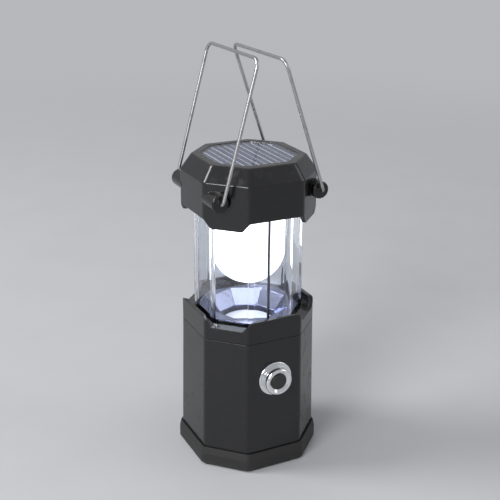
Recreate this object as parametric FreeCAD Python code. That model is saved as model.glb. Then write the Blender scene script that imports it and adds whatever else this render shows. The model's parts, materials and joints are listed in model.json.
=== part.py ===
import FreeCAD, Part
import math
import os
from FreeCAD import Vector

# Sizes in millimetres. Z is up, the origin is the middle of the underside, the push button faces -Y.
# Every outline is an octagon that lies a given distance outwards from the tube's outer faces.

# Battery: cells side by side, which set the width of the lantern
cell_count = 3
cell_radius = 7.25
cell_length = 49.0
cell_nub_radius = 2.75
cell_nub_length = 1.5
cell_edge_round = 0.8
cell_gap = 0.4
cell_room = 5.08
contact_thickness = 0.8
contact_margin = 1.85
end_wall = 1.6

# Clear tube: four wide faces across the axes, four corner faces a little further out across the diagonals
corner_drop = 1.5
tube_wall = 1.8
edge_round = 5.0
tube_shown = 66.3
flange_width = 1.9
flange_thickness = 2.5

# Fits
seat_clearance = 0.15
slide_clearance = 0.3
grip_clearance = 0.12
stop_gap = 0.5
pivot_clearance = 0.08
button_clearance = 0.1
screw_clearance = 0.06

# Walls of base and cap
rim_width = 7.4
rim_wall = 2.4
shell_wall = 2.8
shell_flare = 1.5
seam_bevel = 0.5
spigot_wall = 1.5
spigot_root = 3.0
spigot_height = 5.0
spigot_gap = 2.0

# Base heights
cover_thickness = 3.0
cell_headroom = 0.5
deck_thickness = 2.0
park_gap = 0.8
guide_length = 9.8
guide_wall = 1.8
groove_height = 2.4
groove_cut = 0.9
ledge_height = 2.6
ledge_width = 2.5

# Tongues of the cap and the notches in the base that take them
tooth_depth = 6.2
tooth_width = 21.5
tooth_slope = 40.0
tooth_round = 1.8
tooth_clearance = 0.4

# Foot
foot_flare = 1.9
foot_bevel = 1.4
foot_shoulder = 4.5
foot_lip = 1.2

# Cap
cap_side = 23.0
cap_bevel_height = 10.0
cap_bevel_width = 6.6
cap_top_wall = 2.0
cap_edge_round = 1.6
tray_height = 5.5
tray_thickness = 2.4
tube_socket_wall = 1.8
tube_socket_setback = 1.0
solar_margin = 0.8
solar_depth = 2.8
solar_thickness = 1.6
solar_cover_thickness = 1.0

# Ears and bails
ear_height = 12.9
ear_reach = 7.5
ear_radius = 5.6
ear_length = 16.8
ear_edge_round = 1.0
bail_spread = 1.4
wire_radius = 1.1
bail_length = 88.4
bail_corner_round = 6.0
bail_foot_round = 2.6
pin_length = 5.0
left_lean = 15.1
right_lean = 18.9

# Lamp
bulb_gap = 4.4
bulb_wall = 1.5
bulb_length = 59.5
bulb_flange_width = 2.0
bulb_flange_thickness = 2.0
bulb_seat = 1.5
board_thickness = 1.6
lamp_count = 6
lamp_inset = 8.3
lamp_radius = 2.5
lamp_length = 7.5
lamp_collar_width = 0.4
lamp_collar_height = 1.0

# Reflector dish in the foot of the tube
dish_wall = 1.5
dish_lip = 1.2
dish_height = 14.9
dish_depth = 9.8
dish_border = 1.75
dish_slope_width = 7.3
disc_gap = 0.48
disc_thickness = 1.2

# Leads
lead_radius = 0.85
lead_clearance = 0.2
lead_bend = 2.0
lead_landing = 2.0
loop_sway = 8.0
loop_bend = 8.0

# Push button on the front
button_height = 65.2
button_radius = 5.3
button_edge_round = 0.7
button_dimple = 0.5
button_travel = 1.2
button_recess = 0.6
button_lip = 0.8
button_lip_thickness = 1.2
lip_depth = 2.4
bezel_reach = 7.2
bezel_spigot_wall = 1.6
bezel_seat = 1.4
bezel_round = 1.4
bezel_flange_width = 2.5
bezel_flange_thickness = 1.4
bezel_flange_round = 0.7
bezel_mouth = 1.9
switch_size = 6.0
switch_board = 1.0
plunger_radius = 1.5
plunger_length = 0.8

# Screws, alike in the cover and in the cap
screw_radius = 1.2
screw_length = 9.0
screw_head_radius = 2.4
screw_head_height = 1.2
screw_slot_width = 0.8
screw_slot_depth = 0.5
post_radius = 3.2

# Charging socket and its flap on the rear
socket_width = 9.0
socket_height = 3.2
socket_length = 8.0
socket_skin = 0.5
socket_back = 1.6
socket_round = 1.28
socket_recess = 0.8
socket_headroom = 0.4
socket_tongue_width = 6.0
socket_tongue_thickness = 0.7
socket_tongue_setback = 1.0
board_gap = 0.3
board_cell_gap = 2.0
board_peg_inset = 3.0
flap_side = 3.0
flap_margin = 1.4
flap_thickness = 1.6
flap_edge_round = 0.6
flap_gap = 0.2
flap_foot_gap = 0.45
flap_barrel_radius = 1.2
flap_pin_radius = 0.7
flap_pin_length = 1.8
flap_lip_radius = 0.6
flap_lip_inset = 1.0
flap_lip_side = 3.75
lug_width = 2.0

# Half the turn from one face of the octagon to the next
half_turn = math.radians(22.5)

# Width of the tube, worked out from the cells and the room about them
cell_spacing = 2 * cell_radius + cell_gap
cells_half = (cell_count - 1) / 2 * cell_spacing + cell_radius
cell_end = (cell_length + cell_nub_length) / 2
contact_half = cell_radius - contact_margin
shell_inside = rim_width - shell_wall
tube_corner = (cell_end + cells_half) / math.sqrt(2) + cell_room - shell_inside
tube_flat = tube_corner - corner_drop

# Levels
cell_axis = cover_thickness + cell_radius
deck_bottom = cover_thickness + 2 * cell_radius + cell_headroom
deck_top = deck_bottom + deck_thickness
lift_travel = tube_shown - stop_gap
tube_bottom = deck_top + park_gap + dish_lip + lift_travel
guide_bottom = tube_bottom + flange_thickness + stop_gap
notch_floor = guide_bottom + guide_length
base_height = notch_floor + tooth_depth
plate_bottom = notch_floor - guide_wall
collar_bottom = plate_bottom - spigot_gap - spigot_height
shell_bottom = cover_thickness + ledge_height
groove_bottom = guide_bottom + (guide_length - groove_height) / 2
groove_top = groove_bottom + groove_height
socket_top = deck_bottom - socket_headroom
socket_bottom = socket_top - socket_height
foot_height = socket_bottom - flap_margin
rim_level = base_height + tube_shown
tray_bottom = rim_level + tray_height
tray_top = tray_bottom + tray_thickness
bevel_level = rim_level + cap_side
cap_top = bevel_level + cap_bevel_height
panel_floor = cap_top - solar_depth
ceiling_level = panel_floor - cap_top_wall
ear_level = rim_level + ear_height
dish_top = tube_bottom + dish_height
dish_floor = dish_top - dish_depth
recess_floor = tube_bottom - dish_lip + dish_wall
cover_seat = screw_head_height + 2 * seat_clearance
cap_seat = panel_floor - screw_head_height - seat_clearance

# Distances outwards from the tube's outer faces
rim_inside = rim_width - rim_wall
tube_inside = -tube_wall
foot_inside = shell_inside + shell_flare
foot_outside = rim_width + shell_flare + foot_flare
ledge_inside = foot_inside - ledge_width
cover_outside = foot_inside - seat_clearance
spigot_outside = rim_inside - seat_clearance
groove_outside = slide_clearance + groove_cut
dish_outside = tube_inside - seat_clearance
skirt_inside = dish_outside - dish_wall

# Lamp sizes
bulb_radius = tube_flat + tube_inside - bulb_gap - bulb_flange_width
bulb_centre = tray_bottom - bulb_length + bulb_radius
lamp_hole_radius = bulb_radius - 2 * bulb_wall
board_radius = lamp_hole_radius + bulb_seat
lamp_circle = lamp_hole_radius - lamp_inset
dish_radius = tube_flat + skirt_inside - dish_border
dish_floor_radius = dish_radius - dish_slope_width
disc_radius = dish_floor_radius * math.cos(half_turn) - disc_gap

# Screw places
cover_post_y = tube_flat + ledge_inside - post_radius - seat_clearance
ledge_corner = tube_corner + ledge_inside - post_radius - seat_clearance
cover_post_x = ledge_corner * math.sqrt(2) - cover_post_y - edge_round * math.tan(half_turn)
cap_post_reach = board_radius + post_radius + 2 * seat_clearance
solar_edge = cap_post_reach + screw_head_radius + solar_margin - tube_corner

# Bail places
pivot_place = (tube_corner + rim_width + ear_reach) / math.sqrt(2)
leg_place = pivot_place + bail_spread
ear_end = leg_place - bail_foot_round - stop_gap

# Lead place, on the front wide face
lead_place = tube_flat + tube_inside - lead_radius - seat_clearance


def shell_side(level):
    """How far the flared base shell lies outwards at a level."""
    return rim_width + shell_flare * (collar_bottom - level) / (collar_bottom - shell_bottom)


# Push button sizes
button_wall = tube_flat + shell_side(button_height)
button_inner = button_wall - shell_wall
bezel_front = button_wall + bezel_reach
chamber_radius = button_radius + button_clearance + button_lip
bezel_spigot_radius = chamber_radius + bezel_spigot_wall
bezel_radius = bezel_spigot_radius + bezel_seat
lip_front = bezel_front - lip_depth - button_clearance
lip_back = lip_front - button_lip_thickness
plunger_tip = lip_back - button_travel - 3 * button_clearance

# Charging socket places
rear_face = tube_flat + shell_side(foot_height)
board_back = tube_flat + shell_side(socket_top) - shell_wall - board_gap
board_front = cells_half + board_cell_gap
board_half = cover_post_x - post_radius - board_gap
socket_front = rear_face - socket_recess
flap_half = socket_width / 2 + flap_side
flap_axis_y = rear_face + flap_gap + flap_barrel_radius
flap_axis_z = socket_top + flap_margin + flap_barrel_radius


def rounded(points, radius, closed):
    """Straight runs through the points, joined by arcs of one radius."""
    count = len(points)
    runs = []
    for i in range(count):
        here = points[i]
        if not closed and i in (0, count - 1):
            runs.append((here, None, here))
            continue
        before = (points[i - 1] - here).normalize()
        after = (points[(i + 1) % count] - here).normalize()
        half = before.getAngle(after) / 2
        middle = (before + after).normalize()
        reach = radius / math.tan(half)
        crown = here + middle * (radius / math.sin(half) - radius)
        runs.append((here + before * reach, crown, here + after * reach))
    edges = []
    for i, (start, crown, end) in enumerate(runs):
        if crown:
            edges.append(Part.Arc(start, crown, end).toShape())
        if closed or i < count - 1:
            edges.append(Part.LineSegment(end, runs[(i + 1) % count][0]).toShape())
    return Part.Wire(edges)


def octagon(outwards, level):
    reach = [tube_flat + outwards, tube_corner + outwards]
    points = []
    for i in range(8):
        a = math.radians(45 * i)
        b = math.radians(45 * i + 45)
        near = reach[i % 2]
        far = reach[(i + 1) % 2]
        turn = math.sin(b - a)
        x = (near * math.sin(b) - far * math.sin(a)) / turn
        y = (far * math.cos(a) - near * math.cos(b)) / turn
        points.append(Vector(x, y, level))
    return rounded(points, edge_round, True)


def prism(outwards, low, high):
    return Part.Face(octagon(outwards, low)).extrude(Vector(0, 0, high - low))


def sleeve(outside, inside, low, high):
    return prism(outside, low, high).cut(prism(inside, low, high))


def taper(low_outwards, low, high_outwards, high):
    return Part.makeLoft([octagon(low_outwards, low), octagon(high_outwards, high)], True, True)


def shell_taper(outwards, low, high):
    """Solid between two levels that follows the flared base shell at a distance."""
    return taper(shell_side(low) + outwards, low, shell_side(high) + outwards, high)


def rod(radius, start, end):
    line = end - start
    return Part.makeCylinder(radius, line.Length, start, line)


def post(radius, place, low, high):
    return rod(radius, Vector(place[0], place[1], low), Vector(place[0], place[1], high))


def front_rod(radius, near, far):
    """Rod on the push button's axis between two distances in front of the upright axis."""
    return rod(radius, Vector(0, -near, button_height), Vector(0, -far, button_height))


def hinge_rod(radius, start, end):
    """Rod on the charging flap's hinge axis between two places along X."""
    return rod(radius, Vector(start, flap_axis_y, flap_axis_z), Vector(end, flap_axis_y, flap_axis_z))


def block(x, y, z):
    """Box from three pairs of limits."""
    low = Vector(min(x), min(y), min(z))
    return Part.makeBox(max(x) - low.x, max(y) - low.y, max(z) - low.z, low)


def wire_rod(path, radius):
    start = path.Edges[0]
    along = start.tangentAt(start.FirstParameter)
    ring = Part.Wire(Part.makeCircle(radius, start.valueAt(start.FirstParameter), along))
    return path.makePipeShell([ring], True, False)


def joined(shapes):
    return shapes[0].multiFuse(shapes[1:]).removeSplitter()


def end_edges(shape, y):
    """Edges that lie whole in the plane at one Y."""
    return [e for e in shape.Edges if abs(e.BoundBox.YMin - y) < 0.01 and abs(e.BoundBox.YMax - y) < 0.01]


def teeth(edge_level, depth, width):
    """Four tooth-shaped bars across the corner faces, hanging down from the edge level."""
    foot = width / 2
    head = foot + depth * math.tan(math.radians(tooth_slope))
    side = head + 3 * tooth_round
    above = edge_level + 3 * tooth_round
    outline = [(-foot, edge_level - depth), (foot, edge_level - depth), (head, edge_level),
               (side, edge_level), (side, above), (-side, above), (-side, edge_level), (-head, edge_level)]
    points = [Vector(tube_corner, across, level) for across, level in outline]
    bar = Part.Face(rounded(points, tooth_round, True)).extrude(Vector(2 * rim_width, 0, 0))
    bars = []
    for i in range(4):
        bars.append(bar.copy())
        bars[i].rotate(Vector(0, 0, 0), Vector(0, 0, 1), 45 + 90 * i)
    return bars


def cover_posts():
    return [(x * cover_post_x, y * cover_post_y) for x in (-1, 1) for y in (-1, 1)]


def cap_posts():
    side = cap_post_reach / math.sqrt(2)
    return [(x * side, y * side) for x in (-1, 1) for y in (-1, 1)]


def screw(place, seat, way):
    """Slotted screw whose head lies on the seat level and whose shank runs up (1) or down (-1)."""
    x, y = place
    outer = seat - way * screw_head_height
    head = post(screw_head_radius, place, outer, seat)
    shank = post(screw_radius, place, seat, seat + way * screw_length)
    half = screw_slot_width / 2
    slot = block((x - screw_head_radius, x + screw_head_radius), (y - half, y + half),
                 (outer, outer + way * screw_slot_depth))
    return head.fuse(shank).cut(slot)


def base_shell():
    """Flared housing with a spigot for the collar, a ledge for the deck and lugs for the flap."""
    wall = shell_taper(0, shell_bottom, collar_bottom)
    wall = wall.cut(shell_taper(-shell_wall, shell_bottom, collar_bottom))
    spigot = sleeve(spigot_outside, spigot_outside - spigot_wall, collar_bottom - spigot_root,
                    collar_bottom + spigot_height)
    ledge = sleeve(rim_width, ledge_inside, deck_bottom - ledge_height, deck_bottom)
    lugs = []
    for side in (-1, 1):
        near = side * (flap_half + flap_gap)
        far = near + side * lug_width
        root = block((near, far), (rear_face - shell_wall, flap_axis_y),
                     (flap_axis_z - flap_barrel_radius, flap_axis_z + flap_barrel_radius))
        lugs.append(root.fuse(hinge_rod(flap_barrel_radius, near, far)))
    shell = joined([wall, spigot, ledge] + lugs)
    pin_end = flap_half + flap_gap + lug_width
    pin_hole = hinge_rod(flap_pin_radius + pivot_clearance, -pin_end, pin_end)
    button_hole = front_rod(bezel_spigot_radius + seat_clearance, tube_flat + shell_inside, bezel_front)
    slot_half = socket_width / 2 + seat_clearance
    slot = block((-slot_half, slot_half), (tube_flat, flap_axis_y),
                 (socket_bottom - seat_clearance, socket_top + seat_clearance))
    return shell.cut(button_hole).cut(slot).cut(pin_hole)


def base_collar():
    """Upper band of the base: notched rim, floor and the guide that the tube slides in."""
    edge = taper(rim_width - seam_bevel, collar_bottom, rim_width, collar_bottom + seam_bevel)
    band = joined([edge, prism(rim_width, collar_bottom + seam_bevel, base_height)])
    band = band.cut(prism(rim_inside, collar_bottom, base_height))
    plate = sleeve(rim_inside, slide_clearance, plate_bottom, notch_floor)
    guide = sleeve(slide_clearance + guide_wall, slide_clearance, guide_bottom, notch_floor)
    collar = joined([band, plate, guide])
    for bar in teeth(base_height, tooth_depth, tooth_width):
        collar = collar.cut(bar)
    return collar.cut(prism(groove_outside, groove_bottom, groove_top))


def grip_ring():
    return sleeve(groove_outside, grip_clearance, groove_bottom, groove_top)


def foot_ring():
    waist = foot_height - foot_shoulder
    low = taper(foot_outside - foot_bevel, 0, foot_outside, foot_bevel)
    side = prism(foot_outside, foot_bevel, waist)
    shoulder = taper(foot_outside, waist, shell_side(foot_height) + foot_lip, foot_height)
    ring = joined([low, side, shoulder])
    ring = ring.cut(prism(ledge_inside, 0, foot_height))
    ring = ring.cut(prism(cover_outside + seat_clearance, 0, cover_thickness))
    return ring.cut(shell_taper(seat_clearance, shell_bottom, foot_height))


def bottom_cover():
    cover = prism(cover_outside, 0, cover_thickness)
    for place in cover_posts():
        cover = cover.cut(post(screw_radius + seat_clearance, place, 0, cover_thickness))
        cover = cover.cut(post(screw_head_radius + 2 * seat_clearance, place, 0, cover_seat))
    return cover


def cover_screws():
    return Part.Compound([screw(place, cover_seat, 1) for place in cover_posts()])


def battery_deck():
    """Deck over the cells, with screw posts, end walls for the contacts and pegs for the charging board."""
    parts = [prism(shell_side(deck_top) - shell_wall - seat_clearance, deck_bottom, deck_top)]
    for place in cover_posts():
        parts.append(post(post_radius, place, cover_thickness, deck_bottom))
    wall_half = cells_half - cell_radius + contact_half
    for side in (-1, 1):
        near = side * (cell_end + contact_thickness)
        parts.append(block((near, near + side * end_wall), (-wall_half, wall_half),
                           (cover_thickness + seat_clearance, deck_bottom)))
        peg = (side * (board_half - board_peg_inset), (board_front + board_back) / 2)
        parts.append(post(end_wall, peg, socket_bottom, deck_bottom))
    deck = joined(parts)
    for place in cover_posts():
        deck = deck.cut(post(screw_radius + screw_clearance, place, cover_thickness, deck_bottom))
    return deck


def cell_rows():
    return [(i - (cell_count - 1) / 2) * cell_spacing for i in range(cell_count)]


def battery_cells():
    cells = []
    for i, y in enumerate(cell_rows()):
        way = 1 if i % 2 == 0 else -1
        neck = Vector(way * (cell_end - cell_nub_length), y, cell_axis)
        can = rod(cell_radius, Vector(-way * cell_end, y, cell_axis), neck)
        can = can.makeFillet(cell_edge_round, [e for e in can.Edges if e.Curve.TypeId == "Part::GeomCircle"])
        cells.append(can.fuse(rod(cell_nub_radius, neck, Vector(way * cell_end, y, cell_axis))))
    return Part.Compound(cells)


def battery_contacts():
    plates = []
    for side in (-1, 1):
        for y in cell_rows():
            x = (side * cell_end, side * (cell_end + contact_thickness))
            z = (cell_axis - contact_half, deck_bottom)
            plates.append(block(x, (y - contact_half, y + contact_half), z))
    return Part.Compound(plates)


def charge_board():
    low = socket_bottom - board_thickness
    return block((-board_half, board_half), (board_front, board_back), (low, socket_bottom))


def charge_socket():
    half = socket_width / 2
    back = socket_front - socket_length
    can = block((-half, half), (back, socket_front), (socket_bottom, socket_top))
    along = [e for e in can.Edges if e.BoundBox.YLength > socket_length / 2]
    can = can.makeFillet(socket_round, [e for e in along if e.BoundBox.ZMin > socket_bottom])
    inside = half - socket_skin
    hollow = block((-inside, inside), (back + socket_back, socket_front),
                   (socket_bottom + socket_skin, socket_top - socket_skin))
    middle = (socket_bottom + socket_top) / 2
    tongue_half = socket_tongue_thickness / 2
    tongue = block((-socket_tongue_width / 2, socket_tongue_width / 2),
                   (back + socket_back, socket_front - socket_tongue_setback),
                   (middle - tongue_half, middle + tongue_half))
    return can.cut(hollow).fuse(tongue)


def port_flap():
    """Flap with a hinge barrel along its top and a lip to lift it by."""
    low = foot_height + flap_foot_gap
    near = rear_face + flap_gap
    far = near + flap_thickness
    plate = block((-flap_half, flap_half), (near, far), (low, flap_axis_z))
    outer_edges = [e for e in end_edges(plate, far) if e.BoundBox.ZMin < flap_axis_z]
    plate = plate.makeFillet(flap_edge_round, outer_edges)
    pin_end = flap_half + flap_gap + flap_pin_length
    lip_end = flap_half - flap_lip_side
    lip_level = low + flap_lip_inset
    lip = rod(flap_lip_radius, Vector(-lip_end, far, lip_level), Vector(lip_end, far, lip_level))
    barrel = hinge_rod(flap_barrel_radius, -flap_half, flap_half)
    return joined([plate, barrel, hinge_rod(flap_pin_radius, -pin_end, pin_end), lip])


def button_bezel():
    """Bright flanged boss on the front wall: a spigot through the wall and a stepped bore for the button."""
    body = front_rod(bezel_radius, button_inner, bezel_front)
    body = body.makeFillet(bezel_round, end_edges(body, -bezel_front))
    flange_front = button_wall + bezel_flange_thickness
    flange = front_rod(bezel_radius + bezel_flange_width, button_inner, flange_front)
    flange = flange.makeFillet(bezel_flange_round, end_edges(flange, -flange_front))
    body = body.fuse(flange).cut(shell_taper(0, shell_bottom, collar_bottom))
    body = body.fuse(front_rod(bezel_spigot_radius, button_inner, button_wall + bezel_reach / 2))
    bore_radius = button_radius + button_clearance
    mouth_depth = 2 * button_recess
    mouth = Part.makeCone(bore_radius, bore_radius + bezel_mouth, mouth_depth,
                          Vector(0, mouth_depth - bezel_front, button_height), Vector(0, -1, 0))
    body = body.cut(front_rod(bore_radius, button_inner, bezel_front)).cut(mouth)
    return body.cut(front_rod(chamber_radius, button_inner, bezel_front - lip_depth))


def power_button():
    face = bezel_front - button_recess
    stem = front_rod(button_radius, lip_back, face)
    stem = stem.makeFillet(button_edge_round, end_edges(stem, -face))
    lip = front_rod(chamber_radius - button_clearance, lip_back, lip_front)
    ball_radius = (button_radius ** 2 + button_dimple ** 2) / (2 * button_dimple)
    dimple = Part.makeSphere(ball_radius, Vector(0, button_dimple - face - ball_radius, button_height))
    return stem.fuse(lip).cut(dimple)


def push_switch():
    board_top = button_inner + switch_board
    half = switch_size / 2
    body_top = plunger_tip - plunger_length
    body = block((-half, half), (-board_top, -body_top), (button_height - half, button_height + half))
    plunger = front_rod(plunger_radius, board_top, plunger_tip)
    return joined([front_rod(chamber_radius, button_inner, board_top), body, plunger])


def clear_tube():
    tube = sleeve(0, tube_inside, tube_bottom, tray_bottom)
    flange = sleeve(flange_width, tube_inside, tube_bottom, tube_bottom + flange_thickness)
    return joined([tube, flange])


def bowl(low_radius, low, high_radius, high):
    """Eight-sided funnel with its edges on the axes and diagonals."""
    rings = []
    for radius, level in ((low_radius, low), (high_radius, high)):
        angles = [math.radians(45 * i) for i in range(9)]
        corners = [Vector(radius * math.cos(a), radius * math.sin(a), level) for a in angles]
        rings.append(Part.makePolygon(corners))
    return Part.makeLoft(rings, True, True)


def reflector_dish():
    """Faceted bowl with a sunk middle, on a skirt that closes the foot of the tube, grooved for the lead."""
    skirt = sleeve(dish_outside, skirt_inside, tube_bottom - dish_lip, dish_top)
    lip = sleeve(0, skirt_inside, tube_bottom - dish_lip, tube_bottom)
    plate = prism(dish_outside, dish_top - dish_wall, dish_top)
    outer = bowl(dish_floor_radius + dish_wall, dish_floor - dish_wall, dish_radius + dish_wall, dish_top)
    inner = bowl(dish_floor_radius, dish_floor, dish_radius, dish_top)
    recess_radius = disc_radius + seat_clearance
    cup = post(recess_radius + dish_wall, (0, 0), recess_floor - dish_wall, dish_floor)
    recess = post(recess_radius, (0, 0), recess_floor, dish_top)
    dish = joined([skirt, lip, plate, outer, cup]).cut(inner).cut(recess)
    return dish.cut(post(lead_radius + lead_clearance, (0, -lead_place), tube_bottom - dish_lip, dish_top))


def reflector_disc():
    return post(disc_radius, (0, 0), recess_floor, recess_floor + disc_thickness)


def bulb_diffuser():
    """Milky dome, closed below, with a flange under the tray."""
    flange_low = tray_bottom - bulb_flange_thickness
    wide = bulb_radius + bulb_flange_width
    body = post(bulb_radius, (0, 0), bulb_centre, tray_bottom)
    body = joined([body, Part.makeSphere(bulb_radius, Vector(0, 0, bulb_centre)),
                   post(wide, (0, 0), flange_low, tray_bottom)])
    inside = bulb_radius - bulb_wall
    hollow = joined([post(inside, (0, 0), bulb_centre, tray_bottom),
                     Part.makeSphere(inside, Vector(0, 0, bulb_centre))])
    return body.cut(hollow)


def led_board():
    return post(board_radius, (0, 0), tray_top, tray_top + board_thickness)


def led_lamps():
    lamps = []
    for i in range(lamp_count):
        angle = 2 * math.pi * i / lamp_count
        place = (lamp_circle * math.cos(angle), lamp_circle * math.sin(angle))
        tip = tray_top - lamp_length + lamp_radius
        collar = post(lamp_radius + lamp_collar_width, place, tray_top - lamp_collar_height, tray_top)
        dome = Part.makeSphere(lamp_radius, Vector(place[0], place[1], tip))
        lamps.append(joined([collar, post(lamp_radius, place, tip, tray_top), dome]))
    return Part.Compound(lamps)


def cap_tray():
    """Floor of the cap: socket for the tube below, screw posts above."""
    plate = prism(rim_inside - seat_clearance, tray_bottom, tray_top)
    socket_low = rim_level + tube_socket_setback
    socket = sleeve(seat_clearance + tube_socket_wall, seat_clearance, socket_low, tray_bottom)
    posts = [post(post_radius, place, tray_top, ceiling_level) for place in cap_posts()]
    tray = joined([plate, socket] + posts)
    tray = tray.cut(post(lamp_hole_radius, (0, 0), tray_bottom, tray_top))
    tray = tray.cut(post(lead_radius + lead_clearance, (0, -lead_place), tray_bottom, tray_top))
    for place in cap_posts():
        tray = tray.cut(post(screw_radius + screw_clearance, place, cap_seat - screw_length, ceiling_level))
    return tray


def cap_screws():
    return Part.Compound([screw(place, cap_seat, -1) for place in cap_posts()])


def cap_shell():
    """Cap with a bevelled top, four tongues on its rim, four ears and a pocket for the solar panel."""
    side = prism(rim_width, rim_level, bevel_level)
    crown = taper(rim_width, bevel_level, rim_width - cap_bevel_width, cap_top)
    outside = joined([side, crown])
    level_edges = [e for e in outside.Edges if e.BoundBox.ZLength < 0.01 and e.BoundBox.ZMin > ear_level]
    outside = outside.makeFillet(cap_edge_round, level_edges)
    hanging = prism(rim_width, rim_level - tooth_depth, rim_level)
    bars = teeth(rim_level, tooth_depth - stop_gap, tooth_width - 2 * tooth_clearance)
    tongues = [hanging.common(bar) for bar in bars]
    ears = []
    pin_holes = []
    for x in (-pivot_place, pivot_place):
        for way in (-1, 1):
            end = Vector(x, way * ear_end, ear_level)
            ear = rod(ear_radius, Vector(x, way * (ear_end - ear_length), ear_level), end)
            ears.append(ear.makeFillet(ear_edge_round, end_edges(ear, end.y)))
            floor = Vector(x, way * (ear_end - pin_length - stop_gap), ear_level)
            pin_holes.append(rod(wire_radius + pivot_clearance, floor, end))
    knee = bevel_level - cap_edge_round / 2
    ceiling_inside = rim_inside - cap_bevel_width / cap_bevel_height * (ceiling_level - knee)
    cavity = joined([prism(rim_inside, rim_level - tooth_depth, knee),
                     taper(rim_inside, knee, ceiling_inside, ceiling_level)])
    cap = joined([outside] + tongues + ears).cut(cavity)
    for hole in pin_holes:
        cap = cap.cut(hole)
    cap = cap.cut(prism(solar_edge, panel_floor, cap_top))
    for place in cap_posts():
        cap = cap.cut(post(screw_radius + seat_clearance, place, ceiling_level, panel_floor))
        cap = cap.cut(post(screw_head_radius + seat_clearance, place, cap_seat, panel_floor))
    return cap


def solar_panel():
    return prism(solar_edge - seat_clearance, panel_floor, panel_floor + solar_thickness)


def solar_cover():
    low = panel_floor + solar_thickness
    return prism(solar_edge - seat_clearance, low, low + solar_cover_thickness)


def tube_lead():
    """Lead up the front of the tube and over onto the lamp board."""
    over = tray_top + board_thickness + lead_radius
    path = rounded([Vector(0, -lead_place, dish_top - dish_wall), Vector(0, -lead_place, over),
                    Vector(0, lead_landing - board_radius, over)], lead_bend, False)
    return wire_rod(path, lead_radius)


def lead_loop():
    """Slack lead from the dish down to the deck."""
    top = dish_top - dish_wall
    # Each point is across, inwards and a share of the way down
    route = [(0, 0, 0.0), (0, 0, 0.2), (1, 1, 0.45), (-1, 1, 0.7), (0, 1, 0.9), (0, 1, 1.0)]
    points = [Vector(across * loop_sway, inwards * loop_sway - lead_place, top - share * (top - deck_top))
              for across, inwards, share in route]
    return wire_rod(rounded(points, loop_bend, False), lead_radius)


def bail(side, lean):
    """Wire bail: two pins in the ears, two legs and a top bar, leaning inwards."""
    x = side * pivot_place
    pin_end = ear_end - pin_length
    half_way = ear_level + bail_length / 2
    top = ear_level + bail_length
    front_foot = rounded([Vector(x, -pin_end, ear_level), Vector(x, -leg_place, ear_level),
                          Vector(x, -leg_place, half_way)], bail_foot_round, False)
    crown = rounded([Vector(x, -leg_place, half_way), Vector(x, -leg_place, top),
                     Vector(x, leg_place, top), Vector(x, leg_place, half_way)], bail_corner_round, False)
    rear_foot = rounded([Vector(x, leg_place, half_way), Vector(x, leg_place, ear_level),
                         Vector(x, pin_end, ear_level)], bail_foot_round, False)
    path = Part.Wire(front_foot.Edges + crown.Edges + rear_foot.Edges)
    wire = wire_rod(path, wire_radius).removeSplitter()
    wire.rotate(Vector(x, 0, ear_level), Vector(0, 1, 0), -side * lean)
    return wire


pieces = {
    "base_shell": base_shell(),
    "base_collar": base_collar(),
    "grip_ring": grip_ring(),
    "foot_ring": foot_ring(),
    "bottom_cover": bottom_cover(),
    "cover_screws": cover_screws(),
    "battery_deck": battery_deck(),
    "battery_cells": battery_cells(),
    "battery_contacts": battery_contacts(),
    "charge_board": charge_board(),
    "charge_socket": charge_socket(),
    "port_flap": port_flap(),
    "button_bezel": button_bezel(),
    "power_button": power_button(),
    "push_switch": push_switch(),
    "clear_tube": clear_tube(),
    "reflector_dish": reflector_dish(),
    "reflector_disc": reflector_disc(),
    "bulb_diffuser": bulb_diffuser(),
    "led_board": led_board(),
    "led_lamps": led_lamps(),
    "cap_tray": cap_tray(),
    "cap_screws": cap_screws(),
    "cap_shell": cap_shell(),
    "solar_panel": solar_panel(),
    "solar_cover": solar_cover(),
    "tube_lead": tube_lead(),
    "lead_loop": lead_loop(),
    "left_bail": bail(-1, left_lean),
    "right_bail": bail(1, right_lean),
}

os.makedirs("parts", exist_ok=True)
for name, shape in pieces.items():
    shape.exportStep("parts/" + name + ".step")
    print(name, shape.isValid(), len(shape.Solids), round(shape.Volume / 1000, 2))
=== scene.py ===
import json
import math
from functools import reduce
import bpy
from mathutils import Matrix, Vector


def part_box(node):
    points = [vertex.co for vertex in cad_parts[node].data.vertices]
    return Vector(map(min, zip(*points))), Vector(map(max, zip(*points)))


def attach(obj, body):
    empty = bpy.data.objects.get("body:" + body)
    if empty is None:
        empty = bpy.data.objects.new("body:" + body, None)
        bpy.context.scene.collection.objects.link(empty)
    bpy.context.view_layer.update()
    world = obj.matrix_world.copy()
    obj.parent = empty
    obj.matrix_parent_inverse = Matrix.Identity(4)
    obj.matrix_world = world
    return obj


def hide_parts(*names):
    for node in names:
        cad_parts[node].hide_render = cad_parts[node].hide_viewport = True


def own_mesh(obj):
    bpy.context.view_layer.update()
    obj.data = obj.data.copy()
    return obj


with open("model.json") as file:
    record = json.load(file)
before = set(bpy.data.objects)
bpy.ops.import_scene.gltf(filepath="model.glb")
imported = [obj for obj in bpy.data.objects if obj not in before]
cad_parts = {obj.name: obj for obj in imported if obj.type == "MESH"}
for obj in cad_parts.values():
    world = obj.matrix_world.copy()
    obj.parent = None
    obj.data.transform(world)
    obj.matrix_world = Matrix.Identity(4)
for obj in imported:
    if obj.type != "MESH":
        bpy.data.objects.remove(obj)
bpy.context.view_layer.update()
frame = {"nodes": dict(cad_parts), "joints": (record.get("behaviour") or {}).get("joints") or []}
nodes = frame["nodes"]
perMetre = 1000.0        # the finishes count in millimetres
diagonal = math.sqrt(0.5)
print("frame loaded:", len(nodes), "pieces")


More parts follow.
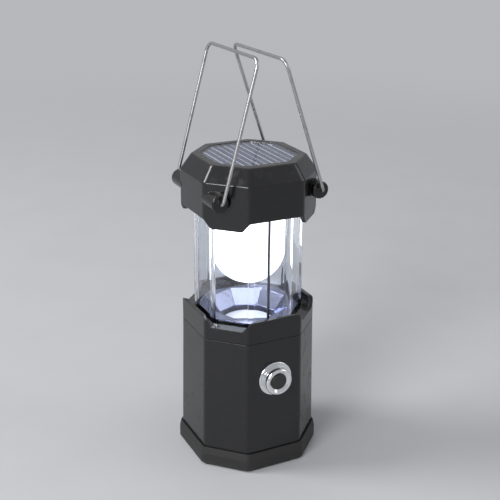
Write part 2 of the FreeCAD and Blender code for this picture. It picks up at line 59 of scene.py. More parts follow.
class Socket:  # a shader socket that takes part in plain sums
    def __init__(self, finish, socket):
        self.finish = finish
        self.socket = socket

    def maths(self, operation, *terms):
        return self.finish.node("ShaderNodeMath", {"operation": operation}, dict(enumerate(terms)))

    def __add__(self, other):
        return self.maths("ADD", self, other)

    def __radd__(self, other):
        return self.maths("ADD", other, self)

    def __sub__(self, other):
        return self.maths("SUBTRACT", self, other)

    def __rsub__(self, other):
        return self.maths("SUBTRACT", other, self)

    def __mul__(self, other):
        return self.maths("MULTIPLY", self, other)

    def __rmul__(self, other):
        return self.maths("MULTIPLY", other, self)

    def __truediv__(self, other):
        return self.maths("DIVIDE", self, other)

    def __pow__(self, other):
        return self.maths("POWER", self, other)

    def __abs__(self):
        return self.maths("ABSOLUTE", self)

    def above(self, other):
        return self.maths("MAXIMUM", self, other)

    def below(self, other):
        return self.maths("MINIMUM", self, other)

    def wave(self, pitch):  # distance to the nearest multiple of the pitch
        return self.maths("PINGPONG", self, pitch / 2)

    def ease(self, start, full):  # 0 at the start, 1 where it is full, smooth between
        return self.finish.node("ShaderNodeMapRange", {"interpolation_type": "SMOOTHSTEP", "clamp": True},
                                {"Value": self, "From Min": start, "From Max": full})

    def output(self, name):
        return Socket(self.finish, self.socket.node.outputs[name])


class Finish:  # one material, or the sky, and the calls that build its nodes
    bevelSamples = 6
    edgeTurn = (0.015, 0.2)  # how far the rounded normal leaves the face, where an edge starts and is full

    def __init__(self, holder):
        self.holder = holder
        holder.use_nodes = True
        self.tree = holder.node_tree
        self.tree.nodes.clear()

    def node(self, kind, settings=None, sockets=None, output=0):
        made = self.tree.nodes.new(kind)
        for name, value in (settings or {}).items():
            setattr(made, name, value)
        for name, value in (sockets or {}).items():
            if isinstance(value, Socket):
                self.tree.links.new(value.socket, made.inputs[name])
            else:
                made.inputs[name].default_value = value
        return Socket(self, made.outputs[output]) if len(made.outputs) else None

    def place(self):  # millimetres in the piece's own frame, so it moves with the piece
        spot = self.node("ShaderNodeTexCoord", output="Object")
        return self.node("ShaderNodeVectorMath", {"operation": "SCALE"}, {0: spot, "Scale": perMetre})

    def axis(self, vector, letter):
        return self.node("ShaderNodeSeparateXYZ", {}, {0: vector}, output=letter)

    def faceNormal(self):
        return self.node("ShaderNodeNewGeometry", output="Normal")

    def stretched(self, place, by):
        return self.node("ShaderNodeVectorMath", {"operation": "MULTIPLY"}, {0: place, 1: by})

    def turned(self, place, axis, degrees):
        return self.node("ShaderNodeVectorRotate", {"rotation_type": "AXIS_ANGLE"},
                         {"Vector": place, "Axis": axis, "Angle": math.radians(degrees)})

    def noise(self, place, size, detail=2.0, rough=0.5):  # size in millimetres
        return self.node("ShaderNodeTexNoise", {}, {"Vector": place, "Scale": 1.0 / size, "Detail": detail,
                                                    "Roughness": rough})

    def cells(self, place, size, feature="F1"):
        return self.node("ShaderNodeTexVoronoi", {"feature": feature}, {"Vector": place, "Scale": 1.0 / size})

    def colours(self, mask, under, over):
        return self.node("ShaderNodeMix", {"data_type": "RGBA"}, {0: mask, 6: under, 7: over}, output=2)

    def softEdge(self, radius):  # normal that rounds off the sharp edges, radius in metres
        return self.node("ShaderNodeBevel", {"samples": self.bevelSamples}, {"Radius": radius})

    def edges(self, soft):  # 1 along sharp edges, 0 on open faces
        same = self.node("ShaderNodeVectorMath", {"operation": "DOT_PRODUCT"},
                         {0: soft, 1: self.faceNormal()}, output="Value")
        return (1 - same).ease(*self.edgeTurn)

    def bump(self, height, distance, strength=1.0, normal=None):  # distance in metres
        sockets = {"Height": height, "Distance": distance, "Strength": strength}
        if normal:
            sockets["Normal"] = normal
        return self.node("ShaderNodeBump", {}, sockets)

    def principled(self, sockets):
        return self.node("ShaderNodeBsdfPrincipled", {}, sockets)

    def mixed(self, mask, under, over):
        return self.node("ShaderNodeMixShader", {}, {0: mask, 1: under, 2: over})

    def seen(self):  # 1 for what the camera, a mirror or clear plastic shows, 0 for light
        camera = self.node("ShaderNodeLightPath", output="Is Camera Ray")
        return camera.above(camera.output("Is Glossy Ray")).above(camera.output("Is Transmission Ray"))

    def shown(self, shader, kind="ShaderNodeOutputMaterial"):
        self.node(kind, {}, {"Surface": shader})
        return self.holder


def newFinish(name):
    return Finish(bpy.data.materials.new(name))


def roughness(look, **marks):  # each mark adds its share to the plain surface
    return sum((look["roughBy"][name] * mark for name, mark in marks.items()), look["rough"])


def grey(level):
    return (level, level, level, 1.0)


def dress(material, *names):
    for name in names:
        slots = nodes[name].data.materials
        slots.clear()
        slots.append(material)


def reach(node, x, y):  # furthest that a piece goes in a direction, in metres
    return max(v.co.x * x + v.co.y * y for v in nodes[node].data.vertices)


# Camera at the photograph's place
cameraSpot = {
    "distance": 0.5915,  # along the floor, from the lantern's axis
    "height": 0.3639,
    "azimuth": 26.1,     # degrees, from the front towards -X
    "pitch": 20.71,      # degrees down
    "yaw": 0.115,
    "roll": -0.401,
    "lens": 69.17,
    "sensor": 36.0,
    "nearest": 0.01,
}


def makeCamera(spot):
    turn = math.radians(spot["azimuth"])
    pitch = math.radians(spot["pitch"])
    yaw = math.radians(spot["yaw"])
    roll = math.radians(spot["roll"])
    up = Vector((0, 0, 1))
    across = Vector((math.cos(turn), -math.sin(turn), 0))
    towards = Vector((-math.sin(turn), -math.cos(turn), 0))
    right = across * math.cos(yaw) + towards * math.sin(yaw)
    back = towards * math.cos(yaw) - across * math.sin(yaw)
    lookBack = back * math.cos(pitch) + up * math.sin(pitch)
    lookUp = up * math.cos(pitch) - back * math.sin(pitch)
    imageRight = right * math.cos(roll) - lookUp * math.sin(roll)
    imageUp = right * math.sin(roll) + lookUp * math.cos(roll)
    data = bpy.data.cameras.new("camera")
    data.sensor_width = spot["sensor"]
    data.lens = spot["lens"]
    data.clip_start = spot["nearest"]
    camera = bpy.data.objects.new("camera", data)
    bpy.context.scene.collection.objects.link(camera)
    where = Matrix.Translation(towards * spot["distance"] + up * spot["height"])
    camera.matrix_world = where @ Matrix((imageRight, imageUp, lookBack)).transposed().to_4x4()
    bpy.context.scene.camera = camera


makeCamera(cameraSpot)
print("camera set")


# In the finishes, noise is given by its size in millimetres, its detail and its roughness. A pair of limits
# says where a mark starts to count and where it counts in full. Depths and edges are in metres.

# Black moulded plastic of cap, base and inner mouldings
blackPlastic = {
    "colour": (0.008, 0.0081, 0.0087, 1.0),
    # lighter along sharp edges: edge wear and painted highlight
    "worn": (0.085, 0.086, 0.09, 1.0),
    "dust": (0.2, 0.195, 0.185, 1.0),
    "rough": 0.17,
    "roughBy": {"smudge": 0.13, "grain": 0.06, "wear": 0.18, "scratch": 0.1, "dust": 0.25},
    "ior": 1.5,
    "cloud": (26.0, 4.0, 0.6),
    "smudge": (9.0, 4.0, 0.65),
    "smudged": (0.5, 0.72),
    "grain": (0.4, 3.0, 0.6),
    "depth": 0.00003,
    "bump": 0.4,
    "edge": 0.0006,
    "chip": (4.0, 4.0, 0.7),         # breaks up the worn edges and their painted highlight
    "chipped": (0.38, 0.62),
    "edgeWearAndHighlightShown": 0.6,
    "hair": (0.6, 1.0),              # fine scratches
    "haired": (0.68, 0.75),
    "hairStretch": (1.0, 1.0, 0.02),
    "hairTurns": (((1.0, 0.3, 0.0), 9.0), ((0.2, 1.0, 0.1), -6.0)),  # axis and degrees of each set
    "hairPatch": (0.5, 0.68),
    "hairShown": 0.14,
    "level": (0.5, 0.97),            # upward part of the normal where dust settles
    "dusted": (0.3, 0.75),
    "dustShown": 0.14,
    "speck": 1.9,
    "specked": (0.15, 0.06),
    "speckPatch": (8.0, 2.0),
    "speckPatched": (0.47, 0.6),
    "speckShown": (0.12, 0.4),       # everywhere, and what level faces add
    "fall": 0.0,                     # how far level faces fall outwards, per length
}

# How much further out than the four sides the collar's four corner faces lie, in millimetres
cornerDrop = (reach("base_collar", diagonal, diagonal) - reach("base_collar", 1, 0)) * perMetre


def hairlines(f, place, look):  # sparse scratches, in sets that each run nearly one way
    sets = []
    for axis, degrees in look["hairTurns"]:
        along = f.stretched(f.turned(place, axis, degrees), look["hairStretch"])
        sets.append(f.noise(along, *look["hair"]).ease(*look["haired"]))
    return reduce(Socket.above, sets)


def mouldedPlastic(name, look):
    f = newFinish(name)
    place = f.place()
    x = abs(f.axis(place, "X"))
    y = abs(f.axis(place, "Y"))
    outwards = x.above(y).above((x + y) * diagonal - cornerDrop)
    cloud = f.noise(place, *look["cloud"])
    smudge = f.noise(place, *look["smudge"]).ease(*look["smudged"])
    grain = f.noise(place, *look["grain"])
    soft = f.softEdge(look["edge"])
    # sharp edges painted lighter: partly edge wear, partly painted highlight
    wear = f.edges(soft) * f.noise(place, *look["chip"]).ease(*look["chipped"])
    scratch = hairlines(f, place, look) * cloud.ease(*look["hairPatch"])
    level = f.axis(f.faceNormal(), "Z").ease(*look["level"])
    patch = f.noise(place, *look["speckPatch"]).ease(*look["speckPatched"])
    speck = f.cells(place, look["speck"]).ease(*look["specked"]) * patch
    everywhere, onLevel = look["speckShown"]
    film = level * cloud.ease(*look["dusted"]) * look["dustShown"]
    dust = (film + speck * (everywhere + onLevel * level)).below(1.0)
    bare = (wear * look["edgeWearAndHighlightShown"] + scratch * look["hairShown"]).below(1.0)
    colour = f.colours(dust, f.colours(bare, look["colour"], look["worn"]), look["dust"])
    rough = roughness(look, smudge=smudge, grain=grain, wear=wear, scratch=scratch, dust=dust)
    sloped = f.bump(outwards * -look["fall"], 1 / perMetre, normal=soft)
    bump = f.bump(grain - scratch, look["depth"], look["bump"], sloped)
    return f.shown(f.principled({"Base Color": colour, "Roughness": rough, "Normal": bump,
                                 "IOR": look["ior"]}))


polishedPlastic = {**blackPlastic, "rough": 0.06, "fall": 0.17}

dress(mouldedPlastic("mouldedBlack", blackPlastic), "base_shell", "cap_shell", "cap_tray", "bottom_cover",
      "battery_deck")
dress(mouldedPlastic("polishedBlack", polishedPlastic), "base_collar")
print("black mouldings dressed")


# Black rubber of the foot, flap and grip ring
blackRubber = {
    "colour": grey(0.014),
    "scuffed": (0.055, 0.053, 0.05, 1.0),
    "rough": 0.52,
    "roughBy": {"cloud": 0.14, "wear": 0.2},
    "ior": 1.5,
    "grain": 0.5,
    "depth": 0.00006,
    "bump": 0.4,
    "cloud": (11.0, 4.0, 0.65),
    "edge": 0.0006,
    "edgeWorn": (0.4, 0.65),
    "edgeShown": 0.6,
    "scuff": (2.2, 3.0, 0.7),
    "scuffPatch": (0.45, 0.7),
    "scuffHeight": (4.5, 0.2),       # millimetres above the floor
    "scuffShown": 0.8,
}


def rubber(name, look):
    f = newFinish(name)
    place = f.place()
    grain = f.cells(place, look["grain"])
    cloud = f.noise(place, *look["cloud"])
    soft = f.softEdge(look["edge"])
    edge = f.edges(soft) * cloud.ease(*look["edgeWorn"])
    nearFloor = f.axis(place, "Z").ease(*look["scuffHeight"])
    scuff = nearFloor * f.noise(place, *look["scuff"]).ease(*look["scuffPatch"])
    wear = (edge * look["edgeShown"] + scuff * look["scuffShown"]).below(1.0)
    colour = f.colours(wear, look["colour"], look["scuffed"])
    rough = roughness(look, cloud=cloud, wear=wear)
    bump = f.bump(grain, look["depth"], look["bump"], soft)
    return f.shown(f.principled({"Base Color": colour, "Roughness": rough, "Normal": bump,
                                 "IOR": look["ior"]}))


dress(rubber("footRubber", blackRubber), "foot_ring", "port_flap", "grip_ring")
print("rubber pieces dressed")


# Clear moulded plastic of the tube, the solar panel's cover and the lamps
clearPlastic = {
    "tint": (0.95, 0.965, 0.99, 1.0),
    "corner": (18.6, 19.6),          # degrees from the middle of a side to where the wall bends light
    "rough": 0.015,
    "roughBy": {"haze": 0.02, "rub": 0.03},
    "haze": (14.0, 4.0, 0.6),
    "hazed": (0.5, 0.75),
    "rub": (1.6, 2.0, 0.6),          # marks that sliding leaves
    "rubStretch": (1.0, 1.0, 0.05),
    "rubbed": (0.64, 0.74),
    "ripple": (9.0, 1.0),
    "rippleStretch": (1.0, 1.0, 0.25),
    "depth": 0.00012,
    "bump": 0.25,
    "gloss": 0.04,                   # share that a wall reflects when seen straight on
    "grazing": 5,                    # how late it rises to a full mirror towards the side
    "ior": 1.49,
}
panelCover = {**clearPlastic, "corner": None, "rough": 0.04, "roughBy": {"haze": 0.02, "rub": 0.0},
              "bump": 0.06}


def clearMoulding(name, look):
    f = newFinish(name)
    place = f.place()
    rub = f.noise(f.stretched(place, look["rubStretch"]), *look["rub"]).ease(*look["rubbed"])
    haze = f.noise(place, *look["haze"]).ease(*look["hazed"])
    rough = roughness(look, haze=haze, rub=rub)
    ripple = f.noise(f.stretched(place, look["rippleStretch"]), *look["ripple"])
    bump = f.bump(ripple, look["depth"], look["bump"])
    film = f.node("ShaderNodeBsdfTransparent", {}, {"Color": look["tint"]})
    mirror = f.principled({"Base Color": grey(1.0), "Roughness": rough, "Normal": bump, "Metallic": 1.0})
    facing = f.node("ShaderNodeLayerWeight", {}, {"Normal": bump}, output="Facing")
    wall = f.mixed(look["gloss"] + (1 - look["gloss"]) * facing ** look["grazing"], film, mirror)
    if look["corner"]:
        thick = f.principled({"Base Color": look["tint"], "Roughness": rough, "Normal": bump,
                              "Transmission Weight": 1.0, "IOR": look["ior"]})
        start, full = look["corner"]
        x = f.axis(place, "X")
        y = f.axis(place, "Y")
        fromSide = y.maths("ARCTAN2", y, x).wave(math.pi / 4)
        wall = f.mixed(fromSide.ease(math.radians(start), math.radians(full)), wall, thick)
    lampRay = f.node("ShaderNodeLightPath", output="Is Shadow Ray")  # lamps reach what is behind the wall
    return f.shown(f.mixed(lampRay, wall, film))


dress(clearMoulding("clearWall", clearPlastic), "clear_tube")
dress(clearMoulding("panelCover", panelCover), "solar_cover", "led_lamps")
print("clear mouldings dressed")


# Milky bulb, lit from inside
milkyBulb = {
    "colour": (0.9, 0.92, 0.95, 1.0),
    "shade": grey(0.8),
    "near": (1.0, 0.99, 0.98, 1.0),  # glow next to the lamps
    "far": (0.82, 0.87, 1.0, 1.0),   # glow at the closed end
    "nearness": (0.0, 0.7),          # shares of the height, from the closed end
    "stray": 0.08,
    "glow": 2.7,
    "rough": 0.34,
    "roughBy": {"cloud": 0.08},
    "cloud": (7.0, 3.0),
    "cloudShown": 0.15,
    "grain": (0.6, 2.0),
    "depth": 0.00002,
    "bump": 0.3,
}


def litMilk(name, look):
    f = newFinish(name)
    place = f.place()
    low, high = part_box("bulb_diffuser")
    up = (f.axis(place, "Z") - low.z * perMetre) / ((high.z - low.z) * perMetre)
    cloud = f.noise(place, *look["cloud"])
    glow = f.colours((up + look["stray"] * cloud).ease(*look["nearness"]), look["far"], look["near"])
    colour = f.colours(cloud * look["cloudShown"], look["colour"], look["shade"])
    rough = roughness(look, cloud=cloud)
    bump = f.bump(f.noise(place, *look["grain"]), look["depth"], look["bump"])
    return f.shown(f.principled({"Base Color": colour, "Roughness": rough, "Normal": bump,
                                 "Emission Color": glow, "Emission Strength": look["glow"]}))


dress(litMilk("milkyBulb", milkyBulb), "bulb_diffuser")
print("bulb dressed")


# Silvered reflector and its white disc
silveredDish = {
    "colour": (0.32, 0.335, 0.45, 1.0),
    "dull": (0.26, 0.275, 0.38, 1.0),
    "bare": (0.035, 0.035, 0.06, 1.0),  # painted shade on the wall of the sunk middle
    "sunk": 3.55,                    # millimetres from the disc up to the bowl
    "sunkEdge": 0.15,
    "rough": 0.05,
    "roughBy": {"cloud": 0.05, "flow": 0.04},
    "peel": (2.4, 2.0),
    "cloud": (8.0, 4.0, 0.65),
    "clouded": (0.45, 0.8),
    "cloudShown": 0.6,
    "flow": (0.9, 2.0, 0.6),         # drawn lines down the facets
    "flowStretch": (1.0, 1.0, 0.1),
    "flowed": (0.5, 0.8),
    "flowShown": 0.4,
    "flowHeight": 0.5,
    "depth": 0.00004,
    "bump": 0.5,
    "edge": 0.0004,
}


def silvered(name, look):
    f = newFinish(name)
    place = f.place()
    peel = f.noise(place, *look["peel"])
    cloud = f.noise(place, *look["cloud"])
    flow = f.noise(f.stretched(place, look["flowStretch"]), *look["flow"])
    clouded = cloud.ease(*look["clouded"]) * look["cloudShown"]
    flowed = flow.ease(*look["flowed"]) * look["flowShown"]
    colour = f.colours((clouded + flowed).below(1.0), look["colour"], look["dull"])
    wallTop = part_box("reflector_disc")[1].z * perMetre + look["sunk"]
    # the wall of the sunk middle is painted dark: painted shade
    paintedRecessShade = f.axis(place, "Z").ease(wallTop, wallTop - look["sunkEdge"])
    colour = f.colours(paintedRecessShade, colour, look["bare"])
    rough = roughness(look, cloud=cloud, flow=flow)
    soft = f.softEdge(look["edge"])
    bump = f.bump(peel + look["flowHeight"] * flow, look["depth"], look["bump"], soft)
    return f.shown(f.principled({"Base Color": colour, "Roughness": rough, "Metallic": 1.0, "Normal": bump}))


whiteDisc = {
    "colour": (0.84, 0.86, 0.9, 1.0),
    "shade": grey(0.75),
    # dark ring along the disc's edge: painted shade
    "rim": (0.3, 0.32, 0.4, 1.0),
    "rimWidth": (0.9, 0.2),          # millimetres in from the edge, where the painted shade starts and is full
    "rimShown": 0.8,
    "rough": 0.3,
    "roughBy": {"cloud": 0.1},
    "cloud": (5.0, 3.0),
    "cloudShown": 0.2,
    "ringPitch": 1.2,
    "ringHeight": 0.4,
    "grain": 0.8,
    "grainHeight": 0.3,
    "depth": 0.00004,
    "bump": 0.3,
}


def pressedDisc(name, look):
    f = newFinish(name)
    place = f.place()
    x = f.axis(place, "X")
    y = f.axis(place, "Y")
    out = (x * x + y * y) ** 0.5
    radius = reach("reflector_disc", 1, 0) * perMetre
    start, full = look["rimWidth"]
    # the disc's edge is painted darker: painted shade
    rim = out.ease(radius - start, radius - full)
    cloud = f.noise(place, *look["cloud"])
    middle = f.colours(cloud * look["cloudShown"], look["colour"], look["shade"])
    colour = f.colours(rim * look["rimShown"], middle, look["rim"])
    rough = roughness(look, cloud=cloud)
    rings = out.wave(look["ringPitch"]) * look["ringHeight"]
    bump = f.bump(rings + look["grainHeight"] * f.noise(place, look["grain"]), look["depth"], look["bump"])
    return f.shown(f.principled({"Base Color": colour, "Roughness": rough, "Normal": bump}))


dress(silvered("silveredDish", silveredDish), "reflector_dish")
dress(pressedDisc("whiteDisc", whiteDisc), "reflector_disc")
print("reflector dressed")


# Bright plated bezel and the dark button in it
plating = {
    "colour": (0.82, 0.83, 0.85, 1.0),
    "dull": (0.55, 0.56, 0.58, 1.0),
    "rough": 0.08,
    "roughBy": {"cloud": 0.08, "rub": 0.1},
    "cloud": (4.0, 4.0, 0.65),
    "clouded": (0.5, 0.75),
    "cloudShown": 0.5,
    "rub": (0.5, 2.0, 0.6),
    "rubStretch": (0.2, 1.0, 1.0),
    "rubbed": (0.6, 0.72),
    "depth": 0.00001,
    "bump": 0.4,
    "edge": 0.0004,
}


def brightPlate(name, look):
    f = newFinish(name)
    place = f.place()
    cloud = f.noise(place, *look["cloud"])
    rub = f.noise(f.stretched(place, look["rubStretch"]), *look["rub"])
    colour = f.colours(cloud.ease(*look["clouded"]) * look["cloudShown"], look["colour"], look["dull"])
    rough = roughness(look, cloud=cloud, rub=rub.ease(*look["rubbed"]))
    bump = f.bump(rub, look["depth"], look["bump"], f.softEdge(look["edge"]))
    return f.shown(f.principled({"Base Color": colour, "Roughness": rough, "Metallic": 1.0, "Normal": bump}))


darkButton = {
    "colour": grey(0.016),
    "worn": grey(0.05),
    "rough": 0.34,
    "roughBy": {"thumb": 0.16},
    "thumb": (2.5, 4.0, 0.6),        # where a thumb has rubbed it
    "thumbShown": 0.2,
    "edge": 0.0003,
    "edgeShown": 0.5,
    "grain": (0.3, 2.0),
    "depth": 0.00003,
    "bump": 0.4,
}


def pressedButton(name, look):
    f = newFinish(name)
    place = f.place()
    soft = f.softEdge(look["edge"])
    thumb = f.noise(place, *look["thumb"])
    worn = f.edges(soft) * look["edgeShown"] + look["thumbShown"] * thumb
    colour = f.colours(worn, look["colour"], look["worn"])
    rough = roughness(look, thumb=thumb)
    bump = f.bump(f.noise(place, *look["grain"]), look["depth"], look["bump"], soft)
    return f.shown(f.principled({"Base Color": colour, "Roughness": rough, "Normal": bump}))


dress(brightPlate("brightBezel", plating), "button_bezel")
dress(pressedButton("darkButton", darkButton), "power_button", "push_switch")
print("push button dressed")


# Drawn steel wire of the bails, and the screws and contacts
drawnSteel = {
    "colour": (0.46, 0.46, 0.47, 1.0),
    "tarnish": (0.17, 0.16, 0.155, 1.0),
    "rough": 0.26,
    "roughBy": {"lines": 0.12, "stain": 0.2},
    "lines": (0.12, 2.0, 0.6),
    "lineStretch": (1.0, 0.05, 0.05),
    "cloud": (6.0, 5.0, 0.7),
    "clouded": (0.48, 0.74),
    "cloudShown": 0.55,
    "pit": 1.3,
    "pitted": (0.2, 0.05),
    "pitPatch": (0.5, 0.7),
    "pitShown": 0.6,
    "depth": 0.00001,
    "bump": 0.5,
}


def steel(name, look):
    f = newFinish(name)
    place = f.place()
    lines = f.noise(f.stretched(place, look["lineStretch"]), *look["lines"])
    cloud = f.noise(place, *look["cloud"])
    pits = f.cells(place, look["pit"]).ease(*look["pitted"]) * cloud.ease(*look["pitPatch"])
    stain = (cloud.ease(*look["clouded"]) * look["cloudShown"] + pits * look["pitShown"]).below(1.0)
    colour = f.colours(stain, look["colour"], look["tarnish"])
    rough = roughness(look, lines=lines, stain=stain)
    bump = f.bump(lines - pits, look["depth"], look["bump"])
    return f.shown(f.principled({"Base Color": colour, "Roughness": rough, "Metallic": 1.0, "Normal": bump}))


dress(steel("drawnSteel", drawnSteel), "left_bail", "right_bail", "cover_screws", "cap_screws",
      "battery_contacts", "charge_socket")
print("steel dressed")


# Leads: one up the front of the tube, one slack between dish and deck
leadSheath = {
    "colour": (0.011, 0.011, 0.012, 1.0),
    "rubbed": (0.05, 0.05, 0.053, 1.0),
    "rough": 0.36,
    "roughBy": {"cloud": 0.15, "lay": 0.1},
    "cloud": (3.0, 3.0),
    "clouded": (0.5, 0.75),
    "cloudShown": 0.6,
    "lay": 0.5,                      # fine lines along the lead
    "layStretch": (1.0, 1.0, 0.12),
    "depth": 0.00003,
    "bump": 0.5,
}


def sheath(name, look):
    f = newFinish(name)
    place = f.place()
    cloud = f.noise(place, *look["cloud"])
    lay = f.noise(f.stretched(place, look["layStretch"]), look["lay"])
    colour = f.colours(cloud.ease(*look["clouded"]) * look["cloudShown"], look["colour"], look["rubbed"])
    rough = roughness(look, cloud=cloud, lay=lay)
    bump = f.bump(lay, look["depth"], look["bump"])
    return f.shown(f.principled({"Base Color": colour, "Roughness": rough, "Normal": bump}))


slackLead = {
    "sway": 0.008,       # metres across and inwards
    "turns": ((0, 0, 0.0), (0, 0, 0.12), (0, 0.3, 0.25), (1, 0.35, 0.45), (-1, 0.6, 0.7), (0, 1, 0.9),
              (0, 1, 1.0)),  # sways across, sways inwards, share of the way down
    "gap": 0.0001,       # to the end of the tube's lead
    "sides": 14,
}

tubeLead = {
    "wander": ((0.0, 0.0), (0.24, 0.0002), (0.5, -0.00015), (0.76, 0.0002), (0.95, 0.0)),  # share up, aside
    "sides": 14,
}


def smoothLine(route, order=3, steps=14):  # points of a smooth curve that the route's points steer
    curve = bpy.data.curves.new("route", "CURVE")
    curve.dimensions = "3D"
    spline = curve.splines.new("NURBS")
    spline.points.add(len(route) - 1)
    for point, spot in zip(spline.points, route):
        point.co = (*spot, 1.0)
    spline.order_u = order
    spline.use_endpoint_u = True
    spline.resolution_u = steps
    holder = bpy.data.objects.new("route", curve)
    mesh = bpy.data.meshes.new_from_object(holder)
    spots = [vertex.co.copy() for vertex in mesh.vertices]
    bpy.data.objects.remove(holder)
    bpy.data.meshes.remove(mesh)
    return spots


def roundTube(name, spots, radius, sides):
    verts = []
    side = Vector((1, 0, 0))
    for i, spot in enumerate(spots):
        along = (spots[min(i + 1, len(spots) - 1)] - spots[max(i - 1, 0)]).normalized()
        side = (side - along * side.dot(along)).normalized()
        other = along.cross(side)
        for k in range(sides):
            turn = 2 * math.pi * k / sides
            verts.append(spot + (side * math.cos(turn) + other * math.sin(turn)) * radius)
    faces = [tuple(range(sides - 1, -1, -1)), tuple(range(len(verts) - sides, len(verts)))]
    for i in range(len(spots) - 1):
        for k in range(sides):
            a = i * sides + k
            b = i * sides + (k + 1) % sides
            faces.append((a, b, b + sides, a + sides))
    mesh = bpy.data.meshes.new(name)
    mesh.from_pydata(verts, [], faces)
    for face in mesh.polygons:
        face.use_smooth = len(face.vertices) == 4  # the ends stay flat
    piece = bpy.data.objects.new(name, mesh)
    bpy.context.scene.collection.objects.link(piece)
    return piece


def makeLeads(slack, tube, finish):
    low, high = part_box("tube_lead")
    radius = (high.x - low.x) / 2
    front = low.y + radius
    over = high.z - radius
    height = over - low.z
    route = [(aside, front, low.z + share * height) for share, aside in tube["wander"]]
    route += [(0.0, front, over), (0.0, (front + high.y) / 2, over), (0.0, high.y, over)]
    upright = roundTube("tubeLead", smoothLine(route), radius, tube["sides"])
    upright.data.materials.append(finish)
    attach(upright, "head")
    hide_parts("tube_lead")
    # the slack lead goes on from the foot of the other
    low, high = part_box("lead_loop")
    drop = high.z - low.z
    top = high.z - slack["gap"]
    route = [(across * slack["sway"], front + inwards * slack["sway"], top - share * (top - low.z))
             for across, inwards, share in slack["turns"]]
    loose = roundTube("slackLead", smoothLine(route), radius, slack["sides"])
    loose.data.materials.append(finish)
    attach(loose, "base")
    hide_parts("lead_loop")
    lift = next(joint for joint in frame["joints"] if joint["name"] == "lift")
    1 + lift["range_m"][0] / drop
    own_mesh(loose)


makeLeads(slackLead, tubeLead, sheath("leadSheath", leadSheath))
print("leads laid")


# Solar panel: dark cells between fine silver lines
solarCells = {
    "cell": (0.008, 0.014, 0.05, 1.0),
    "crystal": (0.016, 0.03, 0.1, 1.0),
    "line": (0.6, 0.62, 0.66, 1.0),
    "gap": (0.55, 0.57, 0.6, 1.0),
    "flake": 2.6,                    # this and the lengths below in millimetres
    "cellWidth": 9.4,
    "fingerPitch": 1.175,
    "fingerHalf": (0.1, 0.05),
    "barHalf": (0.5, 0.4),
    "gapHalf": (0.35, 0.25),
    "fingerShown": 0.7,
    "rough": 0.25,
    "roughBy": {"flake": 0.2},
    "depth": 0.00003,
    "bump": 0.5,
}


def solar(name, look):
    f = newFinish(name)
    place = f.place()
    x = f.axis(place, "X")
    width = look["cellWidth"]
    flake = f.axis(f.cells(place, look["flake"]).output("Color"), "X")
    cell = f.colours(flake, look["cell"], look["crystal"])
    finger = f.axis(place, "Y").wave(look["fingerPitch"]).ease(*look["fingerHalf"])
    bar = (x + width / 2).wave(width).ease(*look["barHalf"])
    gap = x.wave(width).ease(*look["gapHalf"])
    lined = f.colours((finger * look["fingerShown"] + bar).below(1.0), cell, look["line"])
    colour = f.colours(gap, lined, look["gap"])
    rough = roughness(look, flake=flake)
    bump = f.bump(finger + bar, look["depth"], look["bump"])
    return f.shown(f.principled({"Base Color": colour, "Roughness": rough, "Normal": bump}))


dress(solar("solarCells", solarCells), "solar_panel")
print("solar panel dressed")


# Boards and cells, seen only where the case is opened
board = {
    "mask": (0.02, 0.12, 0.05, 1.0),
    "trace": (0.03, 0.2, 0.08, 1.0),
    "track": 3.5,                    # millimetres from track to track
    "trackHalf": (0.09, 0.05),
    "weavePitch": 0.5,
    "weaveHeight": 0.3,
    "rough": 0.35,
    "roughBy": {"cloud": 0.1},
    "cloud": 3.0,
    "depth": 0.00003,
    "bump": 0.5,
}


def circuitBoard(name, look):
    f = newFinish(name)
    place = f.place()
    tracks = f.cells(place, look["track"], "DISTANCE_TO_EDGE").ease(*look["trackHalf"])
    weave = f.axis(place, "X").wave(look["weavePitch"]) + f.axis(place, "Y").wave(look["weavePitch"])
    colour = f.colours(tracks, look["mask"], look["trace"])
    rough = roughness(look, cloud=f.noise(place, look["cloud"]))
    bump = f.bump(tracks + look["weaveHeight"] * weave, look["depth"], look["bump"])
    return f.shown(f.principled({"Base Color": colour, "Roughness": rough, "Normal": bump}))


cellSleeve = {
    "sleeve": (0.05, 0.2, 0.12, 1.0),
    "shade": grey(0.1),
    "end": (0.5, 0.5, 0.5, 1.0),
    "endMetal": 0.9,
    "sleeveHalf": (23.2, 23.5),      # millimetres from the middle to the bare end
    "rough": 0.3,
    "roughBy": {"cloud": 0.12},
    "cloud": (4.0, 3.0),
    "cloudShown": 0.3,
    "grain": 0.7,
    "depth": 0.00002,
    "bump": 0.4,
}


def sleevedCell(name, look):
    f = newFinish(name)
    place = f.place()
    bare = abs(f.axis(place, "X")).ease(*look["sleeveHalf"])
    cloud = f.noise(place, *look["cloud"])
    sleeve = f.colours(cloud * look["cloudShown"], look["sleeve"], look["shade"])
    colour = f.colours(bare, sleeve, look["end"])
    rough = roughness(look, cloud=cloud)
    bump = f.bump(f.noise(place, look["grain"]), look["depth"], look["bump"])
    metal = bare * look["endMetal"]
    return f.shown(f.principled({"Base Color": colour, "Roughness": rough, "Metallic": metal,
                                 "Normal": bump}))


dress(circuitBoard("circuitBoard", board), "led_board", "charge_board")
dress(sleevedCell("cellSleeve", cellSleeve), "battery_cells")
print("inner pieces dressed")


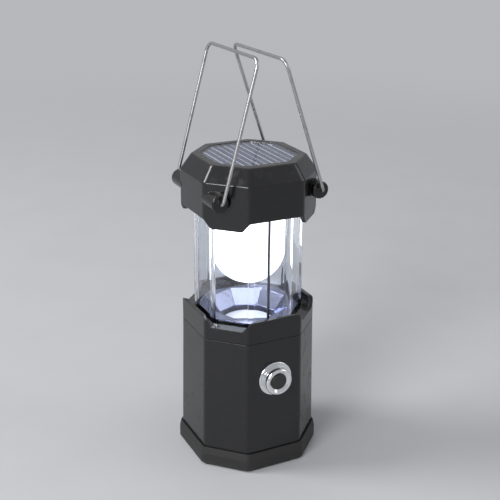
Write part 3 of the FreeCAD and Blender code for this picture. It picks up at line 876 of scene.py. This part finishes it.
# Floor, lamps and sky
studio = {
    "floor": (0.52, 0.525, 0.54, 1.0),
    "grain": (0.47, 0.475, 0.49, 1.0),
    "cloud": (60.0, 3.0),
    "clouded": (0.3, 0.8),
    "cloudShown": 0.3,
    "rough": 0.6,
    "roughBy": {"cloud": 0.1},
    "backdrop": (0.47, 0.475, 0.495, 1.0),  # what shows past the lit floor
    "fade": (450.0, 1500.0),         # millimetres from the lantern, where the backdrop takes over
    "floorHalf": 8.0,                # metres
    "sky": (0.94, 0.96, 1.0, 1.0),
    "skyLevel": 0.42,
    "aim": (0.0, 0.0, 0.12),
    "lamps": (                       # name, place, size and watts
        ("key", (-1.7, 0.9, 1.9), 1.0, 36.0),
        ("side", (-1.8, -1.1, 1.1), 1.0, 32.0),
        ("fill", (1.8, -1.0, 1.2), 1.4, 7.0),
    ),
}


def makeFloor(look):
    half = look["floorHalf"]
    corners = [(-half, -half, 0), (half, -half, 0), (half, half, 0), (-half, half, 0)]
    mesh = bpy.data.meshes.new("floor")
    mesh.from_pydata(corners, [], [(0, 1, 2, 3)])
    floor = bpy.data.objects.new("floor", mesh)
    bpy.context.scene.collection.objects.link(floor)
    f = newFinish("paleFloor")
    place = f.place()
    x = f.axis(place, "X")
    y = f.axis(place, "Y")
    cloud = f.noise(place, *look["cloud"])
    colour = f.colours(cloud.ease(*look["clouded"]) * look["cloudShown"], look["floor"], look["grain"])
    lit = f.principled({"Base Color": colour, "Roughness": roughness(look, cloud=cloud)})
    plain = f.node("ShaderNodeEmission", {}, {"Color": look["backdrop"]})
    away = ((x * x + y * y) ** 0.5).ease(*look["fade"])
    mesh.materials.append(f.shown(f.mixed(away * f.seen(), lit, plain)))


def makeLamps(look):
    for name, spot, size, power in look["lamps"]:
        data = bpy.data.lights.new(name, "AREA")
        data.shape = "DISK"
        data.size = size
        data.energy = power
        lamp = bpy.data.objects.new(name, data)
        bpy.context.scene.collection.objects.link(lamp)
        lamp.location = spot
        lamp.rotation_mode = "QUATERNION"
        lamp.rotation_quaternion = (Vector(look["aim"]) - Vector(spot)).to_track_quat("-Z", "Y")


def makeSky(look):
    f = Finish(bpy.data.worlds.new("sky"))
    light = f.node("ShaderNodeBackground", {}, {"Color": look["sky"], "Strength": look["skyLevel"]})
    plain = f.node("ShaderNodeBackground", {}, {"Color": look["backdrop"]})
    bpy.context.scene.world = f.shown(f.mixed(f.seen(), light, plain), "ShaderNodeOutputWorld")


makeFloor(studio)
makeLamps(studio)
makeSky(studio)
bpy.context.scene.view_settings.view_transform = "Standard"
print("studio lit")
